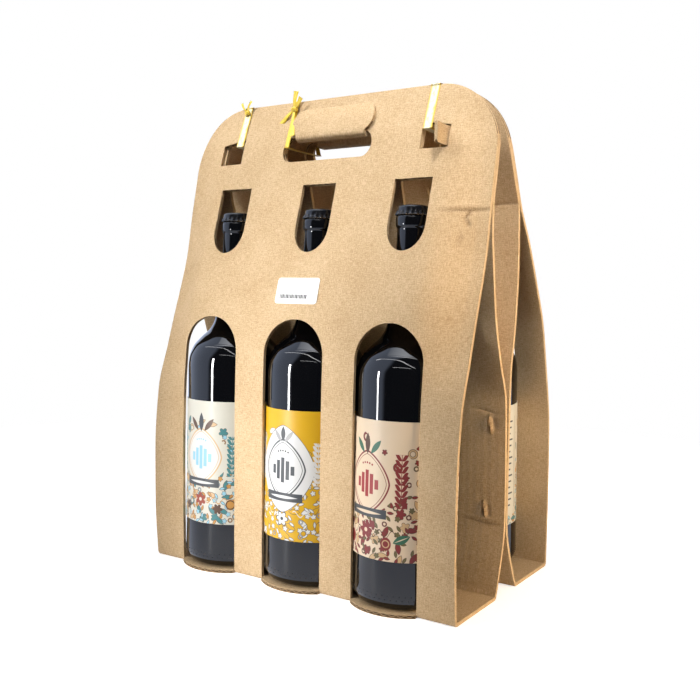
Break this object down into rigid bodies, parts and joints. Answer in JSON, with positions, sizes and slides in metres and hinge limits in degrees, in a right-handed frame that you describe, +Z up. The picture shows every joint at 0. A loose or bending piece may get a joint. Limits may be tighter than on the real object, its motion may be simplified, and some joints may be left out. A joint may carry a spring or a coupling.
{
  "type": "six pack of beer bottles",
  "caption": "Tall dark bottles with crown caps and paper labels, standing in two folded kraft board carriers tied together at the top with yellow ribbons, with a shared hand slot.",
  "frame": {"origin": "on the floor, under the middle of the pack's box", "axes": "+Z up; the front carrier's outer panel looks along -Y; +X is to the right seen from the front"},
  "size_m": [0.296, 0.2068, 0.4094],
  "materials": {
    "kraft_board": "matte brown kraft board, corrugated inside",
    "dark_glass": "glossy, near black, opaque with its drink inside",
    "cap_black": "black enamel on tinplate",
    "label_paper_1": "satin printed paper",
    "label_paper_2": "satin printed paper",
    "label_paper_3": "satin printed paper",
    "ribbon_satin": "yellow satin ribbon",
    "sticker_paper": "white satin paper"
  },
  "bodies": {
    "root": {"carrier_front": "kraft_board", "carrier_rear": "kraft_board", "bottle_front_1": "dark_glass", "bottle_front_2": "dark_glass", "bottle_front_3": "dark_glass", "bottle_rear_1": "dark_glass", "bottle_rear_2": "dark_glass", "bottle_rear_3": "dark_glass", "cap_front_1": "cap_black", "cap_front_2": "cap_black", "cap_front_3": "cap_black", "cap_rear_1": "cap_black", "cap_rear_2": "cap_black", "cap_rear_3": "cap_black", "label_front_1": "label_paper_1", "label_front_2": "label_paper_2", "label_front_3": "label_paper_3", "label_rear_1": "label_paper_1", "label_rear_2": "label_paper_2", "label_rear_3": "label_paper_3", "ribbon_left": "ribbon_satin", "ribbon_right": "ribbon_satin", "ribbon_centre": "ribbon_satin", "sticker": "sticker_paper"}
  },
  "joints": []
}
